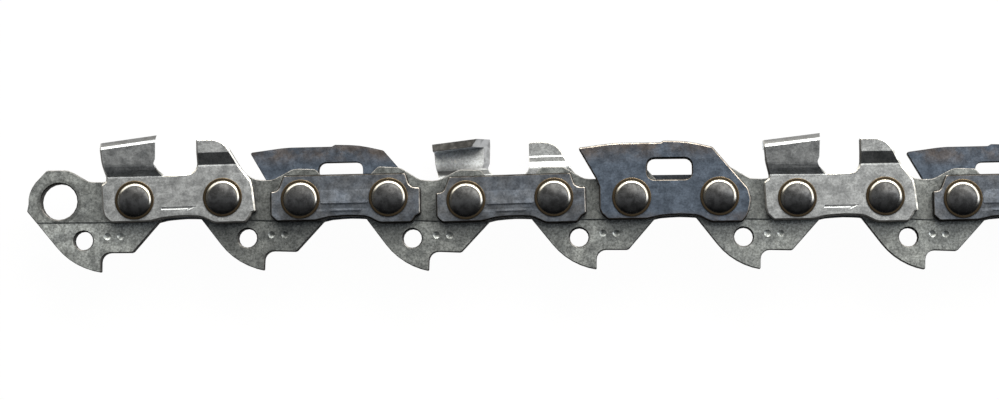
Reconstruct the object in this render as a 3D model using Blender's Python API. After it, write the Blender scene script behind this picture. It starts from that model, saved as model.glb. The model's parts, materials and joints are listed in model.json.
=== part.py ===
"""Low-profile saw chain: a free length of thirteen links, lying on its side.

Lengths are millimetres until a mesh is made, and then metres. X runs along the chain in its
direction of travel, Y points from the drive tangs to the cutting edges, and Z runs along the
rivets. The right-hand side of the chain, seen along its travel, is +Z.
"""

import math

import bmesh
import bpy
import numpy as np
from mathutils import Matrix, Vector
from mathutils.geometry import tessellate_polygon

MM = 0.001
NEAR_PLANE = 1e-4
CREASE_SNAP = 0.03  # a crease runs through points this near to it
ARC_SAG = 0.015  # how far a flat facet may lie inside the true arc

# The chain: pitch is half the length over three rivets
PITCH = 9.32
DRIVE_SPACING = 8.74
SIDE_SPACING = 2 * PITCH - DRIVE_SPACING

# The right and the left side link of each pair, from the rear of the chain
SIDE_PAIRS = (
    ("cutter", "tie_strap"),
    ("tie_strap", "bumper"),
    ("tie_strap", "cutter"),
    ("bumper", "tie_strap"),
    ("cutter", "tie_strap"),
    ("tie_strap", "bumper"),
)

# How each link of the slack chain leans at rest, in degrees, drive links and pairs in turn
REST_LEANS = (0.4, 1.9, -1.4, 1.3, -2.1, 1.9, 0.0, 0.7, -1.1, 1.0, -1.8, 1.2, -0.6)

# Drive link: the body between the side links, and the thinner tang that runs in the bar's groove
BORE = 4.06
DRIVE_THICKNESS = 1.27
TANG_THICKNESS = 1.10
COIN_LINE = 2.35
COIN_SLOPE = 0.15
DRIVE_END_RADIUS = 3.47
DRIVE_END_REACH = 3.60
DRIVE_END_DROP = 1.10
HUMP_HEIGHT = 3.55
HUMP_OUTER = 1.43
HUMP_INNER = 1.02
HUMP_RADIUS = 1.60
SADDLE_HEIGHT = 2.18
SADDLE_RADIUS = 1.90
FLANK_RUN = 2.37
TANG_DEPTH = 8.02
TIP_X = 4.78
TIP_SLOPE = math.radians(8.3)
HEEL_RADIUS = 7.90
NOTCH_DEPTH = 5.80
NOTCH_RADIUS = 1.35
TOE_BACK = 0.40
OIL_HOLE = 2.08
OIL_HOLE_X = 2.80
OIL_HOLE_DEPTH = 4.43

# Side links: what the cutters, tie straps and bumper straps have in common
PLATE_THICKNESS = 1.10
SIDE_CLEARANCE = 0.05
PLATE_HOLE = 3.10
REAR_REACH = 3.38
FRONT_REACH = 3.60
REAR_FOOT = 2.47
FRONT_FOOT = 2.90
REAR_FOOT_SPAN = (-2.70, 1.70)
FRONT_FOOT_SPAN = (-0.95, 2.55)
TOE_RUN = 0.50
TOE_RISE = 0.67
ARCH = 2.14
ARCH_BOW = 0.15
ARCH_BOW_RADIUS = 14.0
ARCH_RAMP = 1.50
ARCH_RADIUS = 1.50
HEEL_EASE = 0.90
FOOT_RADIUS = 0.30
EDGE_RADIUS = 0.20

# Tie strap: a raised band between its rivets, and a short rib below the band
STRAP_HEIGHT = 2.73
STRAP_REAR_SHOULDER = 1.86
STRAP_FRONT_SHOULDER = 1.97
EAR_HEIGHT = 1.00
EAR_DROOP = 0.08
EAR_DEPTH = 1.90
REAR_SHOULDER_RUN = 0.70
FRONT_SHOULDER_RUN = 0.45
SHOULDER_RADIUS = 0.85
BAND_HEIGHT = 0.10
BAND_RADIUS = 0.20
BAND_MARGIN = 2.26
BAND = (-0.55, 0.94)
RIB_RADIUS = 0.06
RIB_REAR_MARGIN = 3.30
RIB_FRONT_MARGIN = 3.10
RIB = (-1.38, -1.20)

# Bumper strap: a ramp ahead of the next cutter, with a slot in it. Edges are (reach, height, radius)
# corners, with the reach measured outwards from the nearer rivet.
BUMPER_NOSE = ((3.33, -1.58, 0.3), (3.55, -0.35, 0.8), (3.25, 0.85, 0.7))
BUMPER_TAIL = ((5.99, 5.66, 0.16), (4.05, 2.25, 0.6), (3.64, 1.25, 0.5), (3.64, -1.24, 0.2))
BUMPER_HEIGHT = 6.16
BUMPER_CREST = 6.37
BUMPER_EDGE = 5.60
CREST_SPAN = (-6.24, -3.50)
CREST_DROOP = 0.11
CREST_STEP = 0.36
EDGE_BACK = 0.75
RAMP_BREAK = 1.90
RAMP_RADIUS = 11.0
TAIL_RADIUS = 9.0
SLOT_REAR = 1.78
SLOT_FRONT = 6.81
SLOT_LOW = 1.97
SLOT_HIGH = 4.36
SLOT_RADIUS = 0.80

# Cutter: the side plate stands out from the body, and the top plate turns in over the chain.
# Its nose and tail are corners as the bumper strap's are.
CUTTER_NOSE = ((3.25, -1.82, 0.1), (3.67, -1.69, 0.2), (3.39, 0.96, 0.5), (3.20, 1.80, 0.4),
               (2.00, 3.35, 1.5))
CUTTER_TAIL = ((3.18, 2.22, 0.2), (3.74, 1.80, 0.2), (3.60, -1.10, 0.5))
CUTTER_BACK = ((3.55, 4.20, 3.0), (3.15, 2.65, 0.2))
CUTTER_FACE = ((2.45, 3.50, 0.4), (2.31, 4.00, 0.2), (2.52, 4.50, 0.2))
CUTTER_FRONT = 2.65
CUTTER_REAR = 3.77
CUTTER_HEIGHT = 7.22
RELIEF = math.radians(6.0)
SIDE_BEND_LOW = 2.70
SIDE_BEND_HIGH = 4.05
SIDE_OFFSET = 0.53
SIDE_LEAN = math.radians(8)
REAR_TUCK = 0.20
TOP_WIDTH = 3.20
TOP_THICKNESS = 0.85
CORNER_DROPS = (0, 0.55, TOP_THICKNESS)
CORNER_INSETS = (0.85, 0.20, 0)
GRIND = math.radians(30)
GRIND_LOW = 3.80
GULLET_X = 5.00
GULLET_FLOOR = 2.66
GULLET_RADIUS = 1.15
GULLET_RISE = 0.19
GULLET_REAR = 3.35
GULLET_EASE = 0.60
GAUGE_REAR = 7.11
GAUGE_FRONT = 0.22
GAUGE_HEIGHT = 6.62
GAUGE_RADIUS = 4.40
GAUGE_BEND_LOW = 3.72
GAUGE_BEND_HIGH = 5.07
GAUGE_OFFSET = 0.55

# Rivet: a hub that turns in the drive link's bore, and a shank headed over both side links
HUB_CLEARANCE = 0.035
SHANK_CLEARANCE = 0.03
SEAT_GAP = 0.02
HEAD_DIAMETER = 4.40
HEAD_PROFILE = ((2.20, 0.04), (1.88, 0.08), (1.58, 0.27), (1.05, 0.40), (0, 0.46))
RIVET_SIDES = 18
BORE_SIDES = 20
HOLE_SIDES = 16

# Heights above the chain's middle plane
PLATE_INNER = DRIVE_THICKNESS / 2 + SIDE_CLEARANCE
PLATE_OUTER = PLATE_INNER + PLATE_THICKNESS

# Where the side plate's bend is creased, as shares of its height
BEND_CREASES = (0, 0.2, 0.5, 0.8, 1)

FINISHES = {
    "drive_link": ((0.16, 0.155, 0.15), 0.42, 0.85),
    "cutter": ((0.36, 0.37, 0.36), 0.50, 0.60),
    "tie_strap": ((0.13, 0.12, 0.15), 0.38, 0.85),
    "bumper": ((0.12, 0.15, 0.19), 0.40, 0.80),
    "rivet": ((0.07, 0.06, 0.055), 0.30, 0.90),
}


def facets(radius, sweep):
    """How many flat facets an arc takes."""
    return max(1, round(abs(sweep) / 2 / math.acos(1 - ARC_SAG / max(radius, 2 * ARC_SAG))))


def arc(centre, radius, start, end):
    """Points of an arc about a centre, from one angle in degrees to another, as sharp corners."""
    sweep = math.radians(end - start)
    steps = facets(radius, sweep)
    angles = [math.radians(start) + sweep * step / steps for step in range(steps + 1)]
    return [(centre[0] + radius * math.cos(a), centre[1] + radius * math.sin(a), 0) for a in angles]


def circle(centre, diameter, sides):
    """A round hole as a polygon whose flats, not its corners, lie at the diameter's radius."""
    radius = diameter / 2 / math.cos(math.pi / sides)
    angles = [2 * math.pi * side / sides for side in range(sides)]
    return [Vector((centre[0] + radius * math.cos(a), centre[1] + radius * math.sin(a))) for a in angles]


def rounded(corners):
    """The outline through (x, y, radius) corners, with an arc of its radius at each corner.

    An arc is never wider than its two walls allow.
    """
    points = []
    for index, (x, y, radius) in enumerate(corners):
        corner = Vector((x, y))
        if not radius:
            points.append(corner)
            continue
        back = Vector(corners[index - 1][:2]) - corner
        ahead = Vector(corners[(index + 1) % len(corners)][:2]) - corner
        half = back.angle(ahead) / 2
        reach = min(radius / math.tan(half), 0.48 * back.length, 0.48 * ahead.length)
        middle = (back.normalized() + ahead.normalized()).normalized()
        centre = corner + middle * reach / math.cos(half)
        spoke = corner + back.normalized() * reach - centre
        turn = spoke.angle_signed(corner + ahead.normalized() * reach - centre)
        steps = facets(spoke.length, turn)
        for step in range(steps + 1):
            points.append(centre + Matrix.Rotation(-turn * step / steps, 2) @ spoke)
    return points


def box_outline(left, right, low, high, radius):
    return rounded([(left, low, radius), (right, low, radius), (right, high, radius), (left, high, radius)])


def walls(solid, low, high):
    """Joins two equal loops of vertices with a wall of four-sided faces."""
    for index in range(len(low)):
        after = (index + 1) % len(low)
        solid.faces.new((low[index], low[after], high[after], high[index]))


def cap(solid, loops):
    """Fills the region between an outer loop of vertices and the loops inside it."""
    flat = [vertex for loop in loops for vertex in loop]
    for corners in tessellate_polygon([[vertex.co for vertex in loop] for loop in loops]):
        solid.faces.new([flat[corner] for corner in corners])


def face_out(solid):
    """Turns every face of a closed solid outwards."""
    bmesh.ops.recalc_face_normals(solid, faces=solid.faces)
    if solid.calc_volume(signed=True) < 0:
        bmesh.ops.reverse_faces(solid, faces=solid.faces)


def plate(outline, holes, low, high, pads=()):
    """A flat solid between two heights, with holes through it and raised pads on its upper face."""
    solid = bmesh.new()
    under, over = ([[solid.verts.new((*point, z)) for point in loop] for loop in (outline, *holes)]
                   for z in (low, high))
    for lower_loop, upper_loop in zip(under, over):
        walls(solid, lower_loop, upper_loop)
    for pad, rise in pads:
        foot = [solid.verts.new((*point, high)) for point in pad]
        crown = [solid.verts.new((*point, high + rise)) for point in pad]
        walls(solid, foot, crown)
        cap(solid, [crown])
        over.append(foot)
    cap(solid, under)
    cap(solid, over)
    face_out(solid)
    bmesh.ops.dissolve_limit(solid, angle_limit=math.radians(0.1), verts=solid.verts, edges=solid.edges)
    return solid


def crease(solid, point, normal):
    """Cuts an edge all round the solid where a plane meets it, for a bend to follow."""
    everything = solid.verts[:] + solid.edges[:] + solid.faces[:]
    bmesh.ops.bisect_plane(solid, geom=everything, dist=CREASE_SNAP, plane_co=point, plane_no=normal)


def heel(rear_end, tip):
    """The hook's back: it leaves a straight from the rear end as an arc, and stops short of the tip."""
    centre = Vector(tip) + HEEL_RADIUS * Vector((math.sin(TIP_SLOPE), math.cos(TIP_SLOPE)))
    gap = centre - Vector(rear_end)
    slope = math.atan2(gap.y, gap.x) - math.asin(HEEL_RADIUS / gap.length)
    return arc(centre, HEEL_RADIUS, math.degrees(slope) - 90, -90 - math.degrees(TIP_SLOPE))[:-1]


def drive_link():
    """A drive link about its rear bore: two bored humps, and the hooked tang below them."""
    rear_end = (-DRIVE_END_REACH, -DRIVE_END_DROP)
    front_end = (DRIVE_SPACING + DRIVE_END_REACH, -DRIVE_END_DROP)
    tip = (TIP_X, -TANG_DEPTH)
    flank = HUMP_INNER + FLANK_RUN
    outline = rounded([
        (*rear_end, 0.1),
        *heel(rear_end, tip),
        (*tip, 0.12),
        (TIP_X, -NOTCH_DEPTH, NOTCH_RADIUS),
        (DRIVE_SPACING - TOE_BACK, -NOTCH_DEPTH, 0.3),
        (*front_end, 0.1),
        *arc((DRIVE_SPACING, 0), DRIVE_END_RADIUS, -5, 39),
        (DRIVE_SPACING + HUMP_OUTER, HUMP_HEIGHT, 0.3),
        (DRIVE_SPACING - HUMP_INNER, HUMP_HEIGHT, HUMP_RADIUS),
        (DRIVE_SPACING - flank, SADDLE_HEIGHT, SADDLE_RADIUS),
        (flank, SADDLE_HEIGHT, SADDLE_RADIUS),
        (HUMP_INNER, HUMP_HEIGHT, HUMP_RADIUS),
        (-HUMP_OUTER, HUMP_HEIGHT, 0.3),
        *arc((0, 0), DRIVE_END_RADIUS, 141, 185),
    ])
    holes = [circle((0, 0), BORE, BORE_SIDES), circle((DRIVE_SPACING, 0), BORE, BORE_SIDES),
             circle((OIL_HOLE_X, -OIL_HOLE_DEPTH), OIL_HOLE, HOLE_SIDES)]
    solid = plate(outline, holes, -DRIVE_THICKNESS / 2, DRIVE_THICKNESS / 2)
    tang_top = -COIN_LINE - COIN_SLOPE
    for height in (-COIN_LINE, tang_top):
        crease(solid, (0, height, 0), (0, 1, 0))
    for vertex in solid.verts:
        if vertex.co.y < tang_top + CREASE_SNAP:
            vertex.co.z *= TANG_THICKNESS / DRIVE_THICKNESS
    return solid


def rivet_holes():
    return [circle((0, 0), PLATE_HOLE, HOLE_SIDES), circle((SIDE_SPACING, 0), PLATE_HOLE, HOLE_SIDES)]


def ahead(corners):
    """Corners given by their reach ahead of the front rivet."""
    return [(SIDE_SPACING + reach, height, radius) for reach, height, radius in corners]


def behind(corners):
    """Corners given by their reach behind the rear rivet."""
    return [(-reach, height, radius) for reach, height, radius in corners]


def feet():
    """The lower edge of a side link: two feet that ride on the bar's rails, and the arch between."""
    rear_heel, rear_toe = REAR_FOOT_SPAN
    front_heel, front_toe = (SIDE_SPACING + place for place in FRONT_FOOT_SPAN)
    return [
        (-REAR_REACH, TOE_RISE - REAR_FOOT, EDGE_RADIUS),
        (rear_heel, -REAR_FOOT, FOOT_RADIUS),
        (rear_toe, -REAR_FOOT, HEEL_EASE),
        (rear_toe + ARCH_RAMP, -ARCH, ARCH_RADIUS),
        ((rear_toe + front_heel) / 2, ARCH_BOW - ARCH, ARCH_BOW_RADIUS),
        (front_heel - ARCH_RAMP, -ARCH, ARCH_RADIUS),
        (front_heel, -FRONT_FOOT, HEEL_EASE),
        (front_toe, -FRONT_FOOT, FOOT_RADIUS),
        (front_toe + TOE_RUN, TOE_RISE - FRONT_FOOT, EDGE_RADIUS),
    ]


def tie_strap():
    """A tie strap about its rear rivet, with a band and a rib on its outer face."""
    outline = rounded([
        *feet(),
        *ahead((
            (FRONT_REACH, -EAR_DEPTH, EDGE_RADIUS),
            (FRONT_REACH, EAR_HEIGHT + EAR_DROOP, EDGE_RADIUS),
            (STRAP_FRONT_SHOULDER + FRONT_SHOULDER_RUN, EAR_HEIGHT + 2 * EAR_DROOP, SHOULDER_RADIUS),
            (STRAP_FRONT_SHOULDER, STRAP_HEIGHT, EDGE_RADIUS),
        )),
        *behind((
            (STRAP_REAR_SHOULDER, STRAP_HEIGHT, EDGE_RADIUS),
            (STRAP_REAR_SHOULDER + REAR_SHOULDER_RUN, EAR_HEIGHT, SHOULDER_RADIUS),
            (REAR_REACH, EAR_HEIGHT - EAR_DROOP, EDGE_RADIUS),
        )),
    ])
    band = box_outline(BAND_MARGIN, SIDE_SPACING - BAND_MARGIN, *BAND, BAND_RADIUS)
    rib = box_outline(RIB_REAR_MARGIN, SIDE_SPACING - RIB_FRONT_MARGIN, *RIB, RIB_RADIUS)
    pads = [(band, BAND_HEIGHT), (rib, BAND_HEIGHT)]
    return plate(outline, rivet_holes(), 0, PLATE_THICKNESS, pads)


def bumper():
    """A bumper strap about its rear rivet: a tie strap that rises into a slotted ramp."""
    crest_rear, crest_front = CREST_SPAN
    outline = rounded([
        *feet(),
        *ahead((
            *BUMPER_NOSE,
            (-EDGE_BACK, BUMPER_EDGE, FOOT_RADIUS),
            (crest_front, BUMPER_CREST - CREST_DROOP, RAMP_RADIUS),
            (crest_rear, BUMPER_CREST, EDGE_RADIUS),
            (crest_rear - CREST_STEP, BUMPER_HEIGHT, EDGE_RADIUS),
        )),
        *behind(((RAMP_BREAK, BUMPER_HEIGHT, TAIL_RADIUS), *BUMPER_TAIL)),
    ])
    slot = box_outline(SLOT_REAR, SLOT_FRONT, SLOT_LOW, SLOT_HIGH, SLOT_RADIUS)
    return plate(outline, [*rivet_holes(), slot], 0, PLATE_THICKNESS)


def top_line(x):
    """The height of the cutter's top edge, which falls to the rear."""
    return CUTTER_HEIGHT - (CUTTER_FRONT - x) * math.tan(RELIEF)


def cutter_outline():
    """A cutter in side view: side plate, gullet and depth gauge on one body."""
    return rounded([
        *feet(),
        *ahead((*CUTTER_NOSE, (GAUGE_FRONT, GAUGE_HEIGHT, GAUGE_RADIUS))),
        (GAUGE_REAR, GAUGE_HEIGHT, EDGE_RADIUS),
        (GAUGE_REAR, GULLET_FLOOR + GULLET_RISE, GULLET_RADIUS),
        (GULLET_REAR, GULLET_FLOOR, GULLET_EASE),
        *CUTTER_FACE,
        (CUTTER_FRONT, CUTTER_HEIGHT, 0),
        (-CUTTER_REAR, top_line(-CUTTER_REAR), 0),
        *behind((*CUTTER_BACK, *CUTTER_TAIL)),
    ])


def stand_out(x, y):
    """How far the cutter's sheet stands out from its body at a point of the side view."""
    if x > GULLET_X:
        return np.interp(y, (GAUGE_BEND_LOW, GAUGE_BEND_HIGH), (0, GAUGE_OFFSET))
    bent = np.interp(y, (SIDE_BEND_LOW, SIDE_BEND_HIGH), (0, 1))
    lean = max(0, y - SIDE_BEND_LOW) * math.tan(SIDE_LEAN)
    tuck = REAR_TUCK * (CUTTER_FRONT - x) / (CUTTER_FRONT + CUTTER_REAR)
    return bent * (2 - bent) * (SIDE_OFFSET - tuck) + lean


def turn_in_top_plate(solid):
    """Draws the top of the side plate's inner face out over the chain, as the top plate."""
    faces = []
    for face in solid.faces:
        middle = face.calc_center_median()
        inner = all(abs(vertex.co.z) < NEAR_PLANE for vertex in face.verts)
        if inner and middle.x < GULLET_X and middle.y > top_line(middle.x) - TOP_THICKNESS:
            faces.append(face)
    drawn = bmesh.ops.extrude_face_region(solid, geom=faces)["geom"]
    bmesh.ops.delete(solid, geom=[face for face in faces if face.is_valid], context="FACES")
    for vertex in (part for part in drawn if isinstance(part, bmesh.types.BMVert)):
        vertex.co.z = PLATE_THICKNESS - TOP_WIDTH


def grind_front(vertex, outer):
    """Sweeps the cutting edges back from the outer corner, down the slope of the top."""
    swept = (outer - vertex.co.z) * math.tan(GRIND)
    vertex.co.x -= swept
    vertex.co.y -= swept * math.tan(RELIEF)


def cutter():
    """A right-hand cutter about its rear rivet."""
    solid = plate(cutter_outline(), rivet_holes(), 0, PLATE_THICKNESS)
    bends = [SIDE_BEND_LOW + (SIDE_BEND_HIGH - SIDE_BEND_LOW) * share for share in BEND_CREASES]
    for height in (*bends, GAUGE_BEND_LOW, GAUGE_BEND_HIGH):
        crease(solid, (0, height, 0), (0, 1, 0))
    for drop in CORNER_DROPS[1:]:
        crease(solid, (0, top_line(0) - drop, 0), (-math.sin(RELIEF), math.cos(RELIEF), 0))
    turn_in_top_plate(solid)
    for vertex in solid.verts:
        x, y, z = vertex.co
        outer = PLATE_THICKNESS
        if x < GULLET_X:
            outer -= np.interp(top_line(x) - y, CORNER_DROPS, CORNER_INSETS)
        if z > PLATE_THICKNESS - NEAR_PLANE:
            vertex.co.z = outer
        if GRIND_LOW < y and CUTTER_FRONT - 0.5 < x < GULLET_X:
            grind_front(vertex, outer)
        vertex.co.z += stand_out(x, y)
    return solid


def rivet():
    """A rivet about its own axis, the same at both ends."""
    hub = BORE / 2 - HUB_CLEARANCE
    shank = PLATE_HOLE / 2 - SHANK_CLEARANCE
    seat = PLATE_OUTER + SEAT_GAP
    half = [(hub, PLATE_INNER - SEAT_GAP), (shank, PLATE_INNER - SEAT_GAP), (shank, seat),
            (HEAD_DIAMETER / 2, seat), *((radius, seat + rise) for radius, rise in HEAD_PROFILE)]
    profile = [(radius, -height) for radius, height in reversed(half)] + half
    solid = bmesh.new()
    rings = []
    for radius, height in profile:
        angles = [2 * math.pi * side / RIVET_SIDES for side in range(RIVET_SIDES if radius else 1)]
        rings.append([solid.verts.new((radius * math.cos(a), radius * math.sin(a), height)) for a in angles])
    for low, high in zip(rings, rings[1:]):
        for side in range(RIVET_SIDES):
            corners = [ring[(side + step) % RIVET_SIDES] if len(ring) > 1 else ring[0]
                       for ring, step in ((low, 0), (low, 1), (high, 1), (high, 0))]
            solid.faces.new(dict.fromkeys(corners))
    return solid


def to_mesh(name, solid, side=1, offset=0):
    """A mesh in metres from a solid in millimetres, moved out by the offset on the given side."""
    for vertex in solid.verts:
        vertex.co = Vector((vertex.co.x, vertex.co.y, side * (vertex.co.z + offset)))
    face_out(solid)
    solid.transform(Matrix.Scale(MM, 4))
    mesh = bpy.data.meshes.new(name)
    solid.to_mesh(mesh)
    solid.free()
    return mesh


def finish(kind):
    """The steel of one kind of piece."""
    colour, roughness, metallic = FINISHES[kind]
    material = bpy.data.materials.new(kind + "_steel")
    material.use_nodes = True
    shader = material.node_tree.nodes["Principled BSDF"]
    shader.inputs["Base Color"].default_value = (*colour, 1)
    shader.inputs["Roughness"].default_value = roughness
    shader.inputs["Metallic"].default_value = metallic
    return material


def make_meshes():
    """One mesh for each kind of piece, and one for each hand of a side link."""
    meshes = {
        ("drive_link", 0): to_mesh("drive_link", drive_link()),
        ("rivet", 0): to_mesh("rivet", rivet()),
    }
    for kind, build in (("cutter", cutter), ("tie_strap", tie_strap), ("bumper", bumper)):
        for side, hand in ((1, "right"), (-1, "left")):
            meshes[kind, side] = to_mesh(f"{hand}_{kind}", build(), side, PLATE_INNER)
    for (kind, _), mesh in meshes.items():
        mesh.materials.append(bpy.data.materials.get(kind + "_steel") or finish(kind))
    meshes["rivet", 0].shade_smooth()
    meshes["rivet", 0].set_sharp_from_angle(angle=math.radians(40))
    return meshes


def add(name, mesh, carrier, x=0):
    """An object on its link's empty, moved along the link where it isn't at the link's pivot."""
    piece = bpy.data.objects.new(name, mesh)
    piece.parent = carrier
    piece.location.x = x * MM
    bpy.context.collection.objects.link(piece)
    return piece


def add_pivot(name, carrier, spacing, lean):
    """The empty of a link, on its rivet axis at the front of the link before it."""
    pivot = add(name, None, carrier, spacing)
    pivot.empty_display_size = 2 * MM
    pivot.rotation_euler.z = math.radians(lean)
    return pivot


def build_chain(meshes):
    """Hangs link after link from the empty of the one before, and fills each with its pieces."""
    base = carrier = add_pivot("chain_base", None, 0, 0)
    lean_before = spacing = 0
    for index, lean in enumerate(REST_LEANS):
        number = index // 2 + 1
        is_pair = index % 2
        name = f"pair_{number}_pivot" if is_pair else f"drive_link_{number}_pivot"
        carrier = add_pivot(name, carrier, spacing, lean - lean_before)
        lean_before = lean
        if not is_pair:
            add(f"drive_link_{number}", meshes["drive_link", 0], carrier)
            spacing = DRIVE_SPACING
            continue
        for side, hand, kind in zip((1, -1), ("right", "left"), SIDE_PAIRS[number - 1]):
            add(f"{hand}_{kind}_{number}", meshes[kind, side], carrier)
        spacing = SIDE_SPACING
        for end, place in enumerate((0, SIDE_SPACING)):
            add(f"rivet_{2 * number - 1 + end:02d}", meshes["rivet", 0], carrier, place)
    return base


def stand_on_origin(base):
    """Moves the chain so that the origin is the middle of the underside of its box."""
    bpy.context.view_layer.update()
    corners = [piece.matrix_world @ vertex.co
               for piece in base.children_recursive if piece.type == "MESH"
               for vertex in piece.data.vertices]
    low = Vector([min(corner[axis] for corner in corners) for axis in range(3)])
    high = Vector([max(corner[axis] for corner in corners) for axis in range(3)])
    middle = (low + high) / 2
    base.location = (-middle.x, -middle.y, -low.z)


def main():
    for leftover in list(bpy.data.objects):
        bpy.data.objects.remove(leftover)
    stand_on_origin(build_chain(make_meshes()))


main()
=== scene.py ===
"""Looks of a low-profile saw chain: a free length of links, lying on its left-hand side.

Each link is finished on the bench, in millimetres about its rear rivet axis, and is then copied to
its places along the chain. X is the direction of travel, Y points to the cutting edges, and Z runs
along the rivets.
"""

import json
import math

import bmesh
import bpy
from bpy.props import FloatProperty, FloatVectorProperty, PointerProperty
from mathutils import Matrix, Vector


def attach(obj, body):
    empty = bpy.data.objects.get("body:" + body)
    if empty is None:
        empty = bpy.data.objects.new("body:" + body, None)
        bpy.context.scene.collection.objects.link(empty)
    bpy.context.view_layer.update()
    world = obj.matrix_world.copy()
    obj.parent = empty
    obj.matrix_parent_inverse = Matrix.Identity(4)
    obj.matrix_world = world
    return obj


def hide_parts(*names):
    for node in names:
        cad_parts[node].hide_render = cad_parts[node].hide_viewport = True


bl_info = {
    "name": "Saw Chain Finish",
    "version": (1, 0, 0),
    "blender": (4, 5, 0),
    "location": "View3D > Sidebar > Saw Chain",
    "description": "Finishes the links, cutters and rivets of a saw chain",
    "category": "Object",
}

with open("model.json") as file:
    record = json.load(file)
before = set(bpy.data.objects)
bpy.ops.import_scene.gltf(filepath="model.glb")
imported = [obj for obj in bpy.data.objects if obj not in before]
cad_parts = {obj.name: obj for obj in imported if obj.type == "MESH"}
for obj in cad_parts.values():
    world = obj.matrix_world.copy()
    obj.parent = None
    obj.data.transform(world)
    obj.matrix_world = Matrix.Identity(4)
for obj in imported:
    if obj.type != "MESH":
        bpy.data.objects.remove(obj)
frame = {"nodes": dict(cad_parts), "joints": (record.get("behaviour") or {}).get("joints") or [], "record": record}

MM = 0.001
NEAR = 1e-3

# How the two end links lean: those between two rivets take their lean from the frame
REAR_LINK_LEAN = math.radians(0.4)
FRONT_LINK_LEAN = math.radians(-0.6)

# Places on the links, in millimetres about the rear rivet axis, as the frame's solids have them
TANG_HALF = 0.55
PLATE_OUTER = 1.785
PLATE_INNER = 0.685
HOLES = (((0, 0), 2.03), ((8.74, 0), 2.03), ((2.80, -4.43), 1.04))
MARK_PLACES = ((5.50, -3.97), (7.00, -3.97))
MARK_RADIUS = 0.40
SLOT_HEIGHTS = (2.9, 4.0)
SLOT_SIDES = (4.37, 8.0)
CUTTER_TOP = 5.5
SIDE_BEND = 2.70
GAUGE_BEND = 3.72
ARROW_REAR = 2.95
ARROW_FRONT = 6.95
ARROW_HEIGHT = -0.98
ARROW_BARB = 1.05
TOOTH_FRONT = 2.8

# A rivet's hub and shanks, and its head from the flange to the crown: radius, and rise over the seat
HUB_RADIUS = 1.995
HUB_HALF = 0.665
SHANK_RADIUS = 1.52
HEAD_SEAT = 1.805
HEAD_PROFILE = ((2.18, 0), (2.20, 0.02), (2.20, 0.04), (2.17, 0.07), (2.11, 0.085), (1.92, 0.08),
                (1.88, 0.09), (1.84, 0.13), (1.77, 0.188), (1.68, 0.238), (1.58, 0.276), (1.45, 0.310),
                (1.25, 0.348), (0.95, 0.392), (0.60, 0.427), (0.30, 0.448), (0, 0.455))
DOME_RADIUS = 1.9
RIVET_SIDES = 48

# The Z of a normal below which a face is a wall of the sheet, or the steep part of a rounding
WALL = 0.3
STEEP = 0.55

# How deep a chamfer goes into the sheet's walls, as a share of its width on the face
CHAMFER_DEPTH = 0.62

# Rounding of the edges that face the middle plane, and how far apart the solids' doubled points may lie
INNER_EDGE = 0.05
MERGE = 0.02

# Corners, in degrees: flat enough to be one face, sharp enough to be worked, and sharp on the bent cutters
FLAT = 0.6
CORNER = 32
CUTTER_CORNER = 58

# How light each link's steel is beside its kind's, where they differ
TONES = {
    "drive_link_1": 0.90,
    "drive_link_2": 0.50,
    "drive_link_3": 0.62,
    "drive_link_4": 0.70,
    "drive_link_5": 0.82,
    "drive_link_6": 0.75,
}

# The photograph's frame: the pixels to a millimetre at the rivet heads, and what lies at its middle
FRAME_WIDTH = 999
PIXELS_PER_MM = 8.90
FRAME_MIDDLE = Vector((-10.48, 0.23, 4.78)) * MM
SENSOR = 36.0
FLOOR_SIZE = 6
FLOOR_GAP = 0.00002

# The studio's light: its two tints, and how bright its window and the glow over it are
WARM = (1.0, 0.95, 0.86)
COOL = (0.96, 0.98, 1.0)
WINDOW = 4.4
CEILING = 0.8


def length(name, default, description):
    """A size in millimetres that a user may change."""
    return FloatProperty(name=name, description=description, default=default, min=0, precision=3)


def colour(name, default, description):
    """A colour that a user may change."""
    return FloatVectorProperty(name=name, description=description, default=default, subtype="COLOR",
                               min=0, max=1)


def scaled(shade, factor):
    """A colour made lighter or darker."""
    return tuple(factor * channel for channel in shade)


class DriveLinkSettings(bpy.types.PropertyGroup):
    edge: length("Edge", 0.07, "Rounding of the stamped edges, in millimetres")
    hole_edge: length("Hole edge", 0.13, "Width of the chamfer around each hole, in millimetres")
    mark_depth: length("Mark depth", 0.24, "Depth of the two plain punches, in millimetres")
    steel: colour("Steel", (0.480, 0.515, 0.520), "Flat faces of the drive links")
    stain: colour("Stain", (0.230, 0.255, 0.270), "Darker stains on the faces")


class TieStrapSettings(bpy.types.PropertyGroup):
    edge: length("Edge", 0.17, "Width of the outer edges' chamfer, in millimetres")
    steel: colour("Steel", (0.185, 0.215, 0.265), "Blued faces of the tie straps")
    heat: colour("Heat tint", (0.165, 0.165, 0.165), "Greyer heat tint in patches")


class BumperSettings(bpy.types.PropertyGroup):
    edge: length("Edge", 0.15, "Width of the outer edges' chamfer, in millimetres")
    steel: colour("Steel", (0.140, 0.178, 0.240), "Slate-blue faces of the bumper straps")
    heat: colour("Heat tint", (0.190, 0.170, 0.165), "Violet-brown heat tint along the upper edge")


class CutterSettings(bpy.types.PropertyGroup):
    edge: length("Edge", 0.17, "Width of the outer edges' chamfer, in millimetres")
    plating: colour("Plating", (0.480, 0.510, 0.540), "Matt grey plating of the cutters")
    arrow_depth: length("Arrow depth", 0.06, "Depth of the travel arrow, in millimetres")


class RivetSettings(bpy.types.PropertyGroup):
    dome: colour("Dome", (0.320, 0.330, 0.345), "Formed heads of the rivets")
    ring: colour("Ring", (0.110, 0.085, 0.055), "Browned ring around each head")


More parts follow.
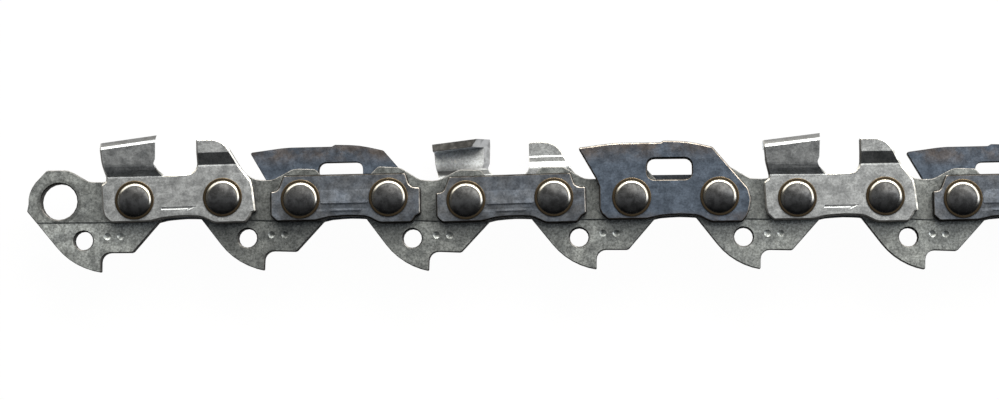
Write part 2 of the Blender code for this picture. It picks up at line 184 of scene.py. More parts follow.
class StageSettings(bpy.types.PropertyGroup):
    distance: FloatProperty(name="Camera distance", description="From the rivet heads to the camera",
                            default=0.29, min=0.05, unit="LENGTH")
    camera_drop: FloatProperty(name="Camera drop", description="How far the camera stands below the chain",
                               default=0.028, unit="LENGTH")
    shift: FloatProperty(name="Shift", description="Sideways shift of the camera's frame", default=-0.16)
    floor: colour("Floor", (0.93, 0.93, 0.93), "Pale floor")


class ChainSettings(bpy.types.PropertyGroup):
    drive_link: PointerProperty(type=DriveLinkSettings)
    tie_strap: PointerProperty(type=TieStrapSettings)
    bumper: PointerProperty(type=BumperSettings)
    cutter: PointerProperty(type=CutterSettings)
    rivet: PointerProperty(type=RivetSettings)
    stage: PointerProperty(type=StageSettings)


def body_of(node):
    """The body that carries a node."""
    return next(body for body, members in frame["record"]["behaviour"]["bodies"].items() if node in members)


def link_place(body):
    """The matrix from a link's bench, in millimetres, to its place in the chain, in metres."""
    pins = [Vector(joint["pos_m"]) for joint in frame["joints"]]
    kind, number = body.rsplit("_", 1)
    index = 2 * (int(number) - 1) + (kind == "pair")
    if index == 0:
        lean = REAR_LINK_LEAN
        reach = (pins[2] - pins[1]).length
        rear = pins[0] - reach * Vector((math.cos(lean), math.sin(lean), 0))
    elif index == len(pins):
        rear, lean = pins[-1], FRONT_LINK_LEAN
    else:
        rear = pins[index - 1]
        along = pins[index] - rear
        lean = math.atan2(along.y, along.x)
    return Matrix.Translation(rear) @ Matrix.Rotation(lean, 4, "Z") @ Matrix.Scale(MM, 4)


def nodes_of(kind):
    """The nodes whose names start with a kind of link."""
    return sorted(node for node in frame["nodes"] if node.startswith(kind))


def hold(piece):
    """Selects one piece alone and makes it active."""
    bpy.ops.object.select_all(action="DESELECT")
    piece.select_set(True)
    bpy.context.view_layer.objects.active = piece


def bench_copy(node, name):
    """A copy of a node's solid on the bench, with its loose triangles merged into whole faces."""
    piece = bpy.data.objects.new(name, frame["nodes"][node].data.copy())
    bpy.context.scene.collection.objects.link(piece)
    piece.data.transform(link_place(body_of(node)).inverted())
    piece.data.materials.clear()
    hold(piece)
    bpy.ops.object.mode_set(mode="EDIT")
    bpy.ops.mesh.select_all(action="SELECT")
    bpy.ops.mesh.remove_doubles(threshold=MERGE)
    bpy.ops.mesh.dissolve_limited(angle_limit=math.radians(FLAT))
    bpy.ops.mesh.normals_make_consistent(inside=False)
    bpy.ops.object.mode_set(mode="OBJECT")
    return piece


def corner_angle(edge):
    """How sharply an edge stands out, in degrees, and below zero where it is a hollow corner."""
    return math.degrees(edge.calc_face_angle_signed(0)) if len(edge.link_faces) == 2 else 0


def round_edges(piece, wanted, width, segments=2, finish=1):
    """Rounds the edges that a test picks, and gives the new faces a finish of their own."""
    hold(piece)
    bpy.ops.object.mode_set(mode="EDIT")
    bpy.ops.mesh.select_mode(type="EDGE")
    bpy.ops.mesh.select_all(action="DESELECT")
    solid = bmesh.from_edit_mesh(piece.data)
    for edge in solid.edges:
        edge.select_set(wanted(edge))
    bmesh.update_edit_mesh(piece.data)
    bpy.ops.mesh.bevel(offset=width, segments=segments, material=finish, clamp_overlap=False,
                       loop_slide=False)
    bpy.ops.object.mode_set(mode="OBJECT")


def chamfer_edges(piece, wanted, width, finish=1):
    """Chamfers the edges that a test picks, wider on the sheet's face than on its walls."""
    round_edges(piece, wanted, width, 1, finish=finish)
    solid = bmesh.new()
    solid.from_mesh(piece.data)
    for vertex in solid.verts:
        cut = [face for face in vertex.link_faces if face.material_index == finish]
        rest = [face for face in vertex.link_faces if face.material_index != finish]
        if cut and rest and all(abs(face.normal.z) < WALL for face in rest):
            vertex.co.z += math.copysign(width * (1 - CHAMFER_DEPTH), vertex.co.z)
    solid.to_mesh(piece.data)
    solid.free()


def sharp(edge, least=CORNER):
    """Whether an edge stands out sharply enough to be worked."""
    return corner_angle(edge) > least


def looks_out(edge):
    """Whether an edge bounds a face of the sheet that looks away from the chain's middle plane."""
    return any(face.normal.z * face.calc_center_median().z > 0.6 for face in edge.link_faces)


def lies_at(edge, height):
    """Whether an edge runs along the sheet's face at this height over the chain's middle plane."""
    return all(abs(abs(vertex.co.z) - height) < NEAR for vertex in edge.verts)


def cut_out(piece, cutter):
    """Cuts one bench piece out of another and throws the cutter away."""
    hold(piece)
    cut = piece.modifiers.new("cut", "BOOLEAN")
    cut.operation = "DIFFERENCE"
    cut.object = cutter
    cut.material_mode = "TRANSFER"
    bpy.ops.object.modifier_apply(modifier=cut.name)
    bpy.data.objects.remove(cutter)


def finish_walls(piece, top=math.inf, wall=2):
    """Gives the stamped walls below a height, and the steep part of their rounding, a finish of their own, near
    black as painted shade.
    """
    for face in piece.data.polygons:
        if abs(face.normal.z) < STEEP and face.center.y < top:
            face.material_index = wall


def settle_normals(piece, angle=20):
    """Shades the piece smooth but for its true corners, with flat faces kept flat."""
    hold(piece)
    bpy.ops.object.mode_set(mode="EDIT")
    bpy.ops.mesh.select_all(action="SELECT")
    bpy.ops.mesh.quads_convert_to_tris(quad_method="BEAUTY", ngon_method="CLIP")
    bpy.ops.object.mode_set(mode="OBJECT")
    bpy.ops.object.shade_smooth()
    solid = bmesh.new()
    solid.from_mesh(piece.data)
    for edge in solid.edges:
        edge.smooth = abs(corner_angle(edge)) < angle
    solid.to_mesh(piece.data)
    solid.free()
    even = piece.modifiers.new("even", "WEIGHTED_NORMAL")
    even.keep_sharp = True
    bpy.ops.object.modifier_apply(modifier=even.name)


def remember_place(piece):
    """Keeps each vertex's place on its link, in millimetres, for patterns that belong to the link."""
    place = piece.data.attributes.new("link_place", "FLOAT_VECTOR", "POINT")
    for vertex, value in zip(piece.data.vertices, place.data):
        value.vector = vertex.co


def remember_tone(piece, tone):
    """Keeps how light this one piece's steel is, as the links of a chain are never quite alike."""
    shade = piece.data.attributes.new("tone", "FLOAT", "POINT")
    for value in shade.data:
        value.value = tone


def deliver(master, nodes, offset=None):
    """Copies a finished bench piece to the place of each node, in its stead."""
    remember_place(master)
    for node in nodes:
        body = body_of(node)
        piece = bpy.data.objects.new("finished_" + node, master.data.copy())
        bpy.context.scene.collection.objects.link(piece)
        remember_tone(piece, TONES.get(node, 1.0))
        shift = Matrix.Translation(offset(node)) if offset else Matrix()
        piece.data.transform(link_place(body) @ shift)
        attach(piece, body)
        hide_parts(node)
    bpy.data.objects.remove(master)


class Finish:
    """A finish in the making: its material, its node tree and short calls for its nodes."""

    def __init__(self, name):
        self.material = bpy.data.materials.new(name)
        self.material.use_nodes = True
        self.nodes = self.material.node_tree.nodes
        self.links = self.material.node_tree.links
        self.shader = self.nodes["Principled BSDF"]
        self.object_place = self.nodes.new("ShaderNodeTexCoord").outputs["Object"]

    def feed(self, socket, value):
        """Links a socket's output, or sets a plain number or colour, on an input."""
        if isinstance(value, bpy.types.NodeSocket):
            self.links.new(value, socket)
        elif isinstance(value, (tuple, list)) and len(value) == 3 and socket.type == "RGBA":
            socket.default_value = (*value, 1)
        else:
            socket.default_value = value

    def set(self, **inputs):
        """Feeds inputs of the shader, by their names in small letters."""
        for name, value in inputs.items():
            self.feed(self.shader.inputs[name.replace("_", " ").title().replace("Ior", "IOR")], value)

    def attribute(self, name, output):
        """What a piece remembers under a name."""
        node = self.nodes.new("ShaderNodeAttribute")
        node.attribute_name = name
        return node.outputs[output]

    def link_place(self):
        """The place on the link's bench, in millimetres."""
        return self.attribute("link_place", "Vector")

    def stretch(self, vector, scale):
        """A place stretched along each axis."""
        node = self.nodes.new("ShaderNodeMapping")
        self.feed(node.inputs["Vector"], vector)
        node.inputs["Scale"].default_value = scale
        return node.outputs["Vector"]

    def noise(self, scale, detail=2.0, roughness=0.5, vector=None):
        """Cloudy noise over the piece, about one half."""
        node = self.nodes.new("ShaderNodeTexNoise")
        self.feed(node.inputs["Vector"], vector or self.object_place)
        node.inputs["Scale"].default_value = scale
        node.inputs["Detail"].default_value = detail
        node.inputs["Roughness"].default_value = roughness
        return node.outputs["Fac"]

    def part(self, vector, axis):
        """One of the three parts of a vector."""
        node = self.nodes.new("ShaderNodeSeparateXYZ")
        self.feed(node.inputs[0], vector)
        return node.outputs[axis]

    def from_centre(self, vector, x=0.0, y=0.0):
        """How far a place is from a point of the side view."""
        squares = []
        for axis, centre in ((0, x), (1, y)):
            away = self.sum("ABSOLUTE", self.sum("SUBTRACT", self.part(vector, axis), centre))
            squares.append(self.sum("POWER", away, 2.0))
        return self.sum("POWER", self.sum("ADD", *squares), 0.5)

    def rim(self, place):
        """One on the inner part of a side link's outer chamfer, and zero where it meets the wall, where the edge
        is painted dark as a painted shade.
        """
        return self.span(self.sum("ABSOLUTE", self.part(place, 2)), PLATE_OUTER - 0.070, PLATE_OUTER - 0.045)

    def line(self, value, place, half):
        """One on a line at a value, and zero beyond its half width."""
        return self.span(self.sum("ABSOLUTE", self.sum("SUBTRACT", value, place)), 0.4 * half, half, 1, 0)

    def product(self, first, *others):
        """Two or more values multiplied."""
        for other in others:
            first = self.sum("MULTIPLY", first, other)
        return first

    def total(self, first, *others):
        """Two or more values added."""
        for other in others:
            first = self.sum("ADD", first, other)
        return first

    def without(self, value, share=1.0):
        """One less a share of a value."""
        return self.sum("SUBTRACT", 1.0, self.product(value, share))

    def sum(self, operation, first, second=0.0):
        """One sum of arithmetic."""
        node = self.nodes.new("ShaderNodeMath")
        node.operation = operation
        self.feed(node.inputs[0], first)
        self.feed(node.inputs[1], second)
        return node.outputs[0]

    def span(self, value, low, high, to_low=0.0, to_high=1.0):
        """A value taken smoothly from one range to another, and held at its ends."""
        node = self.nodes.new("ShaderNodeMapRange")
        node.interpolation_type = "SMOOTHSTEP"
        for name, given in (("Value", value), ("From Min", low), ("From Max", high),
                            ("To Min", to_low), ("To Max", to_high)):
            self.feed(node.inputs[name], given)
        return node.outputs[0]

    def blend(self, share, first, second, kind="MIX"):
        """Two colours mixed or multiplied."""
        node = self.nodes.new("ShaderNodeMix")
        node.data_type = "RGBA"
        node.blend_type = kind
        self.feed(node.inputs["Factor"], share)
        self.feed(node.inputs[6], first)
        self.feed(node.inputs[7], second)
        return node.outputs[2]

    def bump(self, height, strength, depth, under=None):
        """A fine relief, its depth in millimetres, over another one where there is one."""
        node = self.nodes.new("ShaderNodeBump")
        self.feed(node.inputs["Height"], height)
        node.inputs["Strength"].default_value = strength
        node.inputs["Distance"].default_value = depth * MM
        if under:
            self.feed(node.inputs["Normal"], under)
        return node.outputs[0]


def stamped_face(name, steel, stain, rough, grain=0.35, mottle=0.5, shade=None, where=None):
    """A stamped and tumbled face: blotches, fine speckle and a slight pitting."""
    finish = Finish(name)
    patch = finish.span(finish.noise(170, 3, 0.6), 0.35, 0.65)
    blotch = finish.span(finish.noise(600, 5, 0.65), 0.38, 0.62)
    speckle = finish.noise(3900, 4, 0.8)
    stained = finish.product(finish.total(patch, blotch), 0.5 * mottle)
    if where:
        stained = finish.product(stained, where(finish, finish.link_place()))
    base = finish.blend(stained, tuple(steel), tuple(stain))
    base = finish.blend(1.0, base, finish.span(speckle, 0.36, 0.64, 1 - grain, 1 + grain), "MULTIPLY")
    base = finish.blend(1.0, base, finish.attribute("tone", "Fac"), "MULTIPLY")
    if shade:
        base = finish.blend(1.0, base, shade(finish, finish.link_place()), "MULTIPLY")
    roughness = finish.span(finish.noise(900, 3), 0.3, 0.7, rough - 0.07, rough + 0.08)
    pits = finish.bump(speckle, 0.35, 0.02)
    relief = finish.bump(blotch, 0.2, 0.02, pits)
    finish.set(base_color=base, roughness=roughness, metallic=0.96, normal=relief)
    return finish


def worn_edge(name, bright, rough=0.34, shade=None):
    """An edge brightened by rubbing."""
    finish = Finish(name)
    wear = finish.span(finish.noise(1400, 3), 0.35, 0.6)
    base = finish.blend(wear, scaled(bright, 0.6), tuple(bright))
    if shade:
        base = finish.blend(1.0, base, shade(finish, finish.link_place()), "MULTIPLY")
    finish.set(base_color=base, roughness=finish.span(wear, 0, 1, rough + 0.1, rough), metallic=0.95)
    return finish


def sheared_and_shaded_wall(name, dark):
    """A stamped wall: dull and scored across the sheet, and near black, partly its own dull steel and partly
    painted shade.
    """
    finish = Finish(name)
    scores = finish.noise(1500, 3, 0.6, finish.stretch(finish.object_place, (1, 1, 0.15)))
    base = finish.blend(finish.span(scores, 0.35, 0.7), scaled(dark, 0.5), scaled(dark, 1.4))
    finish.set(base_color=base, roughness=0.9, specular_ior_level=0.1, normal=finish.bump(scores, 0.4, 0.02))
    return finish


class CHAIN_OT_drive_links(bpy.types.Operator):
    """Finish the drive links: rounded edges, chamfered holes, coined tangs and two plain punches"""
    bl_idname = "chain.drive_links"
    bl_label = "Drive Links"

    def execute(self, context):
        settings = context.scene.saw_chain.drive_link
        nodes = nodes_of("drive_link")
        master = bench_copy(nodes[3], "drive_link_master")
        faces = (stamped_face("drive_face", settings.steel, settings.stain, 0.46, 0.4, 0.65, self.ring),
                 worn_edge("drive_edge", (0.20, 0.20, 0.20), shade=self.rims),
                 sheared_and_shaded_wall("drive_wall", (0.035, 0.035, 0.035)))
        for finish in faces:
            master.data.materials.append(finish.material)
        chamfer_edges(master, lambda edge: sharp(edge) and self.at_hole(edge), settings.hole_edge)
        round_edges(master, lambda edge: sharp(edge, 60) and not self.at_hole(edge), settings.edge)
        finish_walls(master)
        for place in MARK_PLACES:
            cut_out(master, self.punch(place, settings.mark_depth, master.data.materials[0]))
        settle_normals(master)
        deliver(master, nodes)
        return {"FINISHED"}

    def at_hole(self, edge):
        """Whether an edge runs round one of the bores or the oil hole."""
        return any(all(abs(math.dist(vertex.co.xy, centre) - radius) < 0.1 for vertex in edge.verts)
                   for centre, radius in HOLES)

    def rims(self, finish, place):
        """The chamfers of the holes are painted darker than the outer edges, a painted shade that dulls their
        highlight.
        """
        near = [finish.span(finish.from_centre(place, *centre), radius + 0.2, radius + 0.25, 1, 0)
                for centre, radius in HOLES]
        return finish.without(finish.total(*near), 0.75)

    def ring(self, finish, place):
        """A darker ring around the rear bore, painted shade for a stamped ring, and the tang painted lighter below
        its coined line, painted light against the side links' shadow.
        """
        # Painted shade: a darker ring around the rear bore
        ring_shade = finish.product(finish.line(finish.from_centre(place), 2.3, 0.3), -0.35)
        height = finish.part(place, 1)
        # Painted light: the tang is lighter below its coined line
        below = finish.span(height, -2.35, -2.45)
        tang = finish.product(below, finish.span(height, -3.5, -6.0, 0.45, 0.15))
        return finish.total(1.0, ring_shade, tang)

    def punch(self, place, depth, finish):
        """A shallow round punch, point down, sunk by half its height in the tang's right-hand face."""
        bpy.ops.object.select_all(action="DESELECT")
        bpy.ops.mesh.primitive_cone_add(vertices=16, radius1=2, radius2=0, depth=2, rotation=(math.pi, 0, 0),
                                        location=(*place, TANG_HALF))
        punch = bpy.context.active_object
        punch.scale = (MARK_RADIUS, MARK_RADIUS, depth)
        bpy.ops.object.transform_apply(location=True, rotation=True, scale=True)
        punch.data.materials.append(finish)
        return punch


class CHAIN_OT_tie_straps(bpy.types.Operator):
    """Finish the tie straps: blued faces, chamfered edges and raised bands"""
    bl_idname = "chain.tie_straps"
    bl_label = "Tie Straps"

    def execute(self, context):
        settings = context.scene.saw_chain.tie_strap
        faces = (stamped_face("strap_face", settings.steel, settings.heat, 0.42, 0.25, 0.6, self.wear_and_painted_highlight),
                 worn_edge("strap_edge", (0.19, 0.18, 0.17), shade=self.shoulders),
                 sheared_and_shaded_wall("strap_wall", (0.03, 0.03, 0.03)))
        for hand in ("right", "left"):
            nodes = nodes_of(hand + "_tie_strap")
            master = bench_copy(nodes[0], hand + "_strap_master")
            for finish in faces:
                master.data.materials.append(finish.material)
            chamfer_edges(master, lambda edge: sharp(edge) and lies_at(edge, PLATE_OUTER), settings.edge)
            round_edges(master, lambda edge: sharp(edge) and lies_at(edge, PLATE_INNER), INNER_EDGE)
            finish_walls(master)
            for face in master.data.polygons:
                if abs(face.center.z) > PLATE_OUTER + NEAR:
                    face.material_index = 0
            settle_normals(master)
            deliver(master, nodes)
        return {"FINISHED"}

    def shoulders(self, finish, place):
        """The outer rim of each edge and the top edge between the shoulders are painted dark, a painted shade, so
        that the shoulders alone stay bright.
        """
        along, height = finish.part(place, 0), finish.part(place, 1)
        top = finish.product(finish.span(along, -1.9, -1.5), finish.span(along, 11.4, 11.8, 1, 0),
                             finish.span(height, 2.2, 2.4))
        return finish.product(finish.rim(place), finish.without(top, 0.9))

    def wear_and_painted_highlight(self, finish, place):
        """The raised band is lighter with wear, the rib carries a painted highlight, the rear end is lighter, and
        the lower part is darker.
        """
        along, height = finish.part(place, 0), finish.part(place, 1)
        band = finish.product(finish.span(height, -0.60, -0.50), finish.span(height, 0.90, 1.0, 1, 0),
                              finish.span(along, 2.0, 2.4), finish.span(along, 7.5, 7.9, 1, 0))
        # Painted highlight: the rib is a light line
        rib = finish.product(finish.line(height, -1.29, 0.2), finish.line(along, 4.4, 4.0))
        low = finish.span(height, -0.7, -0.5, 0.85, 1.0)
        end = finish.span(along, -1.4, -2.2, 0, 0.35)
        return finish.total(low, finish.product(band, 0.5), finish.product(rib, 0.6), end)


class CHAIN_OT_bumpers(bpy.types.Operator):
    """Finish the bumper straps: slate-blue faces with heat tints and chamfered edges"""
    bl_idname = "chain.bumpers"
    bl_label = "Bumper Straps"

    def execute(self, context):
        settings = context.scene.saw_chain.bumper
        faces = (stamped_face("bumper_face", settings.steel, settings.heat, 0.42, 0.22, 1.2,
                              where=self.heated),
                 worn_edge("bumper_edge", (0.24, 0.22, 0.20), shade=self.slot_rim),
                 sheared_and_shaded_wall("bumper_wall", (0.03, 0.03, 0.03)))
        for hand in ("right", "left"):
            nodes = nodes_of(hand + "_bumper")
            master = bench_copy(nodes[0], hand + "_bumper_master")
            for finish in faces:
                master.data.materials.append(finish.material)
            chamfer_edges(master, lambda edge: sharp(edge) and lies_at(edge, PLATE_OUTER), settings.edge)
            round_edges(master, lambda edge: sharp(edge) and lies_at(edge, PLATE_INNER), INNER_EDGE)
            finish_walls(master)
            settle_normals(master)
            deliver(master, nodes)
        return {"FINISHED"}

    def slot_rim(self, finish, place):
        """The outer rim of each edge is painted dark, and the chamfer around the slot darker than the outer
        edge's, both painted shade.
        """
        height, along = finish.part(place, 1), finish.part(place, 0)
        slot = finish.product(finish.line(height, *SLOT_HEIGHTS), finish.line(along, *SLOT_SIDES))
        return finish.product(finish.rim(place), finish.without(slot, 0.7))

    def heated(self, finish, place):
        """The heat tint lies along the upper edge and the feet, and the middle stays blue."""
        height = finish.part(place, 1)
        return finish.total(finish.span(height, 3.6, 5.6), finish.span(height, -2.4, -1.4, 0.6, 0))


class CHAIN_OT_cutters(bpy.types.Operator):
    """Finish the cutters: matt plating, bright edges and a travel arrow"""
    bl_idname = "chain.cutters"
    bl_label = "Cutters"

    def execute(self, context):
        settings = context.scene.saw_chain.cutter
        plating = settings.plating
        faces = (stamped_face("cutter_face", plating, scaled(plating, 0.8), 0.46, 0.25, 0.7,
                              self.painted_bend_light_and_shade),
                 worn_edge("cutter_edge", (0.50, 0.50, 0.48)),
                 sheared_and_shaded_wall("cutter_wall", (0.06, 0.06, 0.06)),
                 # A dark finish for the top plate's upper faces, a painted shade
                 worn_edge("cutter_top", (0.16, 0.165, 0.17)),
                 worn_edge("ground_steel", (0.45, 0.46, 0.47)))
        for hand, side in (("right", 1), ("left", -1)):
            nodes = nodes_of(hand + "_cutter")
            master = bench_copy(nodes[0], hand + "_cutter_master")
            for finish in faces:
                master.data.materials.append(finish.material)
            chamfer_edges(master, lambda edge: self.stamped(edge) and looks_out(edge), settings.edge)
            round_edges(master, lambda edge: self.stamped(edge) and not looks_out(edge), INNER_EDGE)
            finish_walls(master, CUTTER_TOP)
            self.finish_top(master)
            cut_out(master, self.arrow(side, settings.arrow_depth))
            settle_normals(master)
            deliver(master, nodes)
        return {"FINISHED"}

    def painted_bend_light_and_shade(self, finish, place):
        """Painted highlights at each bend's foot, painted shade on the gauge's joggle, and painted light on the
        inner face against the top plate's shadow, with a darker band at its foot.
        """
        along, height = finish.part(place, 0), finish.part(place, 1)
        outside = finish.span(finish.sum("ABSOLUTE", finish.part(place, 2)), 1.4, 1.6)
        front = finish.span(along, 4.99, 5.01)
        foot = finish.span(front, 0, 1, SIDE_BEND, GAUGE_BEND)
        # Painted highlight: a light line at the foot of each bend
        painted_highlight_zone = finish.line(finish.sum("SUBTRACT", height, foot), -0.09, 0.12)
        # Painted shade: the gauge's joggle is darkened
        high = finish.span(outside, 0, 1, 4.91, 5.02)
        low = finish.span(outside, 0, 1, 4.35, 3.76)
        between = finish.product(finish.sum("LESS_THAN", low, height), finish.sum("LESS_THAN", height, high))
        joggle = finish.product(between, front, finish.span(outside, 0, 1, 0.85, 0.55))
        inside = finish.product(finish.without(outside), finish.without(front))
        # Painted light on the inner face, rising towards the top plate, with a darker band at its foot
        painted_light_and_dark_band = finish.total(finish.span(height, 3.6, 4.7, -0.5, 0.75),
                            finish.product(finish.line(height, 3.4, 0.42), -0.38))
        light = finish.total(1.0, finish.product(painted_highlight_zone, 0.8), finish.product(painted_light_and_dark_band, inside))
        return finish.sum("SUBTRACT", light, joggle)

    def finish_top(self, piece):
        """Gives the top plate's upper faces a dark finish as painted shade, its sheared inner end the wall finish,
        and the ground fronts bare steel.
        """
        for face in piece.data.polygons:
            x, y, z = face.center
            if 0 < x < TOOTH_FRONT and y > 3.6 and face.normal.x > 0.6:
                face.material_index = 4
            elif y > CUTTER_TOP and x < TOOTH_FRONT and abs(z) < 0.75 and abs(face.normal.z) > 0.8:
                face.material_index = 2
            elif y > CUTTER_TOP and x < TOOTH_FRONT and face.normal.y > 0.6:
                face.material_index = 3

    def stamped(self, edge):
        """Whether an edge is sharp, but not a ground cutting edge at the front of the side and top plates."""
        ground = all(0 < vertex.co.x < TOOTH_FRONT and vertex.co.y > 3.2 for vertex in edge.verts)
        return sharp(edge, CUTTER_CORNER) and not ground

    def arrow(self, side, depth):
        """A long half arrow that points along the chain's travel, as a solid to cut with."""
        low, high = ARROW_HEIGHT - 0.24, ARROW_HEIGHT + 0.10
        barb = ARROW_FRONT - ARROW_BARB
        outline = [(ARROW_REAR, low), (barb, low), (barb, low - 0.20),
                   (ARROW_FRONT, high - 0.05), (ARROW_FRONT, high), (ARROW_REAR, high)]
        bpy.ops.object.select_all(action="DESELECT")
        bpy.ops.mesh.primitive_plane_add(size=1, location=(0, 0, 0))
        arrow = bpy.context.active_object
        solid = bmesh.new()
        solid.faces.new([solid.verts.new((x, y, side * (PLATE_OUTER - depth))) for x, y in outline])
        solid.to_mesh(arrow.data)
        solid.free()
        hold(arrow)
        bpy.ops.object.mode_set(mode="EDIT")
        bpy.ops.mesh.select_all(action="SELECT")
        bpy.ops.mesh.extrude_region_move(TRANSFORM_OT_translate={"value": (0, 0, side * 1.0)})
        bpy.ops.mesh.select_all(action="SELECT")
        bpy.ops.mesh.normals_make_consistent(inside=False)
        bpy.ops.object.mode_set(mode="OBJECT")
        bottom = PLATE_OUTER - depth
        round_edges(arrow, lambda edge: lies_at(edge, bottom), 0.10, finish=0)
        return arrow


class CHAIN_OT_rivets(bpy.types.Operator):
    """Turn the rivets: a hub, two shanks and two formed heads with browned rings"""
    bl_idname = "chain.rivets"
    bl_label = "Rivets"

    def execute(self, context):
        settings = context.scene.saw_chain.rivet
        nodes = nodes_of("rivet")
        master = self.turned(RIVET_SIDES)
        dome = Finish("rivet_dome")
        smear = dome.noise(1500, 4, 0.6)
        place = dome.link_place()
        # Painted shade: the lower half of each head is darkened towards black
        lower = dome.span(dome.part(place, 1), -1.4, 0.2, 1, 0)
        across = dome.from_centre(place)
        # Painted highlight: a light crescent on the upper shoulder, and painted shade on the dark brown foot of
        # the dome beyond it
        painted_highlight_zone = dome.product(dome.span(across, 1.5, 1.7), dome.without(lower))
        light, dark = scaled(settings.dome, 1.15), scaled(settings.dome, 0.5)
        dark = dome.blend(dome.span(smear, 0.35, 0.65), light, dark)
        dark = dome.blend(dome.product(lower, 0.7), dark, (0.02, 0.02, 0.02))
        painted_light_and_dark_band = dome.blend(dome.span(across, 1.82, 1.88), (0.34, 0.33, 0.30), (0.03, 0.024, 0.016))
        dome.set(base_color=dome.blend(painted_highlight_zone, dark, painted_light_and_dark_band), metallic=0.95,
                 roughness=dome.span(smear, 0.3, 0.7, 0.14, 0.22),
                 normal=dome.bump(dome.noise(2600, 3), 0.15, 0.02))
        ring = worn_edge("rivet_ring", settings.ring)
        master.data.materials.append(dome.material)
        master.data.materials.append(ring.material)
        for face in master.data.polygons:
            reach = math.hypot(face.center.x, face.center.y)
            if abs(face.center.z) > PLATE_OUTER and reach > DOME_RADIUS:
                face.material_index = 1
        settle_normals(master, 50)
        spacing = (Vector(frame["joints"][1]["pos_m"]) - Vector(frame["joints"][0]["pos_m"])).length / MM
        deliver(master, nodes,
                lambda node: Vector(((int(node[-2:]) + 1) % 2 * spacing, 0, 0)))
        return {"FINISHED"}

    def profile(self):
        """Radius and height of the upper half of a rivet, from its middle plane to its crown."""
        half = [(HUB_RADIUS, HUB_HALF), (SHANK_RADIUS, HUB_HALF), (SHANK_RADIUS, HEAD_SEAT)]
        return half + [(radius, HEAD_SEAT + rise) for radius, rise in HEAD_PROFILE]

    def turned(self, sides):
        """A rivet turned from its profile about the Z axis."""
        half = self.profile()
        whole = [(radius, -height) for radius, height in reversed(half)] + half
        mesh = bpy.data.meshes.new("rivet_master")
        master = bpy.data.objects.new("rivet_master", mesh)
        bpy.context.scene.collection.objects.link(master)
        mesh.from_pydata([(radius, 0, height) for radius, height in whole],
                         [(index, index + 1) for index in range(len(whole) - 1)], [])
        hold(master)
        bpy.ops.object.mode_set(mode="EDIT")
        bpy.ops.mesh.select_all(action="SELECT")
        bpy.ops.mesh.spin(steps=sides, angle=math.tau, center=(0, 0, 0), axis=(0, 0, 1))
        bpy.ops.mesh.select_all(action="SELECT")
        bpy.ops.mesh.remove_doubles(threshold=0.0005)
        bpy.ops.mesh.normals_make_consistent(inside=False)
        bpy.ops.object.mode_set(mode="OBJECT")
        return master


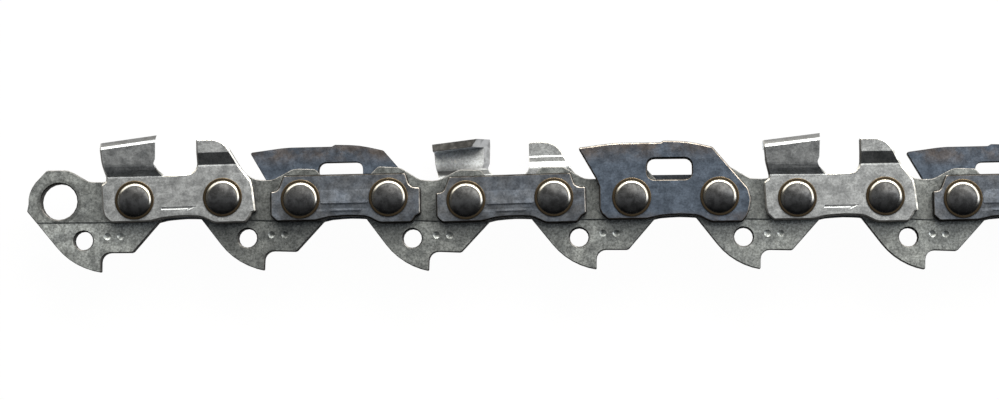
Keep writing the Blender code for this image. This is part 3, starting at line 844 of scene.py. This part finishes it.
class CHAIN_OT_stage(bpy.types.Operator):
    """Set the camera, the floor and the studio light"""
    bl_idname = "chain.stage"
    bl_label = "Stage"

    def execute(self, context):
        settings = context.scene.saw_chain.stage
        self.camera(context, settings)
        self.floor(settings)
        self.lamp()
        self.world(context)
        context.scene.view_settings.view_transform = "Standard"
        return {"FINISHED"}

    def camera(self, context, settings):
        """The photograph's view, from a little below the chain's middle."""
        data = bpy.data.cameras.new("camera")
        camera = bpy.data.objects.new("camera", data)
        context.scene.collection.objects.link(camera)
        shift = settings.shift * FRAME_WIDTH / PIXELS_PER_MM * MM
        eye = FRAME_MIDDLE + Vector((-shift, -settings.camera_drop, settings.distance))
        pitch = math.atan2(settings.camera_drop, settings.distance)
        camera.location = eye
        camera.rotation_euler = (pitch, 0, 0)
        data.sensor_width = SENSOR
        reach = math.hypot(settings.distance, settings.camera_drop)
        data.lens = SENSOR * PIXELS_PER_MM / FRAME_WIDTH * reach / MM
        data.shift_x = settings.shift
        data.clip_start = 0.01
        context.scene.camera = camera

    def floor(self, settings):
        """A pale floor that the camera sees as near white, and that keeps the chain's shadow."""
        bpy.ops.object.select_all(action="DESELECT")
        bpy.ops.mesh.primitive_plane_add(size=FLOOR_SIZE, location=(0, 0, -FLOOR_GAP))
        floor = bpy.context.active_object
        floor.name = "floor"
        finish = Finish("pale_floor")
        finish.set(base_color=tuple(settings.floor), roughness=0.9)
        glow = finish.nodes.new("ShaderNodeEmission")
        mixer = finish.nodes.new("ShaderNodeMixShader")
        path = finish.nodes.new("ShaderNodeLightPath")
        seen = path.outputs["Is Camera Ray"]
        for ray in ("Is Glossy Ray", "Is Transmission Ray"):
            seen = finish.sum("MAXIMUM", seen, path.outputs[ray])
        finish.feed(mixer.inputs[0], finish.product(seen, 0.975))
        finish.links.new(finish.shader.outputs[0], mixer.inputs[1])
        finish.links.new(glow.outputs[0], mixer.inputs[2])
        finish.links.new(mixer.outputs[0], finish.nodes["Material Output"].inputs[0])
        floor.data.materials.append(finish.material)

    def lamp(self):
        """A long warm strip of light beyond the cutting edges, turned to the chain."""
        data = bpy.data.lights.new("strip", "AREA")
        data.shape = "RECTANGLE"
        data.size, data.size_y = 0.60, 0.08
        data.energy = 4.5
        data.color = WARM
        lamp = bpy.data.objects.new("strip", data)
        lamp.location = (0.10, 0.45, 0.23)
        lamp.rotation_euler = (-lamp.location).to_track_quat("-Z", "Y").to_euler()
        bpy.context.scene.collection.objects.link(lamp)

    def world(self, context):
        """A dim room with a broad warm window of light along its +Y side, and a faint glow over it."""
        world = bpy.data.worlds.new("studio")
        world.use_nodes = True
        context.scene.world = world
        nodes, links = world.node_tree.nodes, world.node_tree.links
        direction = nodes.new("ShaderNodeTexCoord")
        parts = nodes.new("ShaderNodeSeparateXYZ")
        links.new(direction.outputs["Generated"], parts.inputs[0])

        def span(value, low, high, to_low, to_high):
            node = nodes.new("ShaderNodeMapRange")
            node.interpolation_type = "SMOOTHSTEP"
            links.new(value, node.inputs["Value"])
            for name, limit in (("From Min", low), ("From Max", high),
                                ("To Min", to_low), ("To Max", to_high)):
                node.inputs[name].default_value = limit
            return node.outputs[0]

        def join(operation, first, second):
            node = nodes.new("ShaderNodeMath")
            node.operation = operation
            links.new(first, node.inputs[0])
            links.new(second, node.inputs[1])
            return node.outputs[0]

        across, away, up = (parts.outputs[axis] for axis in "XYZ")
        room = span(away, -0.9, 0.3, 0.03, 0.12)
        height = join("MULTIPLY", span(up, 0.08, 0.22, 0, 1), span(up, 0.60, 0.76, 1, 0))
        towards = join("ADD", away, span(across, -1.0, 1.0, -0.3, 0.3))
        window = join("MULTIPLY", span(towards, 0.08, 0.42, 0, WINDOW), height)
        ceiling = join("MULTIPLY", span(towards, 0.18, 0.42, 0, CEILING), span(up, 0.78, 0.88, 0, 1))
        light = join("ADD", room, join("ADD", window, ceiling))
        links.new(light, nodes["Background"].inputs["Strength"])
        tint = nodes.new("ShaderNodeMix")
        tint.data_type = "RGBA"
        links.new(span(away, 0.0, 0.4, 0, 1), tint.inputs["Factor"])
        tint.inputs[6].default_value = (*COOL, 1)
        tint.inputs[7].default_value = (*WARM, 1)
        links.new(tint.outputs[2], nodes["Background"].inputs["Color"])


OPERATORS = (CHAIN_OT_drive_links, CHAIN_OT_tie_straps, CHAIN_OT_bumpers, CHAIN_OT_cutters,
             CHAIN_OT_rivets, CHAIN_OT_stage)


class CHAIN_PT_panel(bpy.types.Panel):
    """Steps of the finish"""
    bl_idname = "CHAIN_PT_panel"
    bl_label = "Saw Chain"
    bl_space_type = "VIEW_3D"
    bl_region_type = "UI"
    bl_category = "Saw Chain"

    def draw(self, context):
        for operator in OPERATORS:
            self.layout.operator(operator.bl_idname)


CLASSES = (DriveLinkSettings, TieStrapSettings, BumperSettings, CutterSettings, RivetSettings, StageSettings,
           ChainSettings, *OPERATORS, CHAIN_PT_panel)


def register():
    for cls in CLASSES:
        bpy.utils.register_class(cls)
    bpy.types.Scene.saw_chain = PointerProperty(type=ChainSettings)


def unregister():
    del bpy.types.Scene.saw_chain
    for cls in reversed(CLASSES):
        bpy.utils.unregister_class(cls)


def main():
    register()
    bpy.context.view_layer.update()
    bpy.ops.chain.stage()
    bpy.ops.chain.drive_links()
    bpy.ops.chain.tie_straps()
    bpy.ops.chain.bumpers()
    bpy.ops.chain.cutters()
    bpy.ops.chain.rivets()


if __name__ == "__main__":
    main()
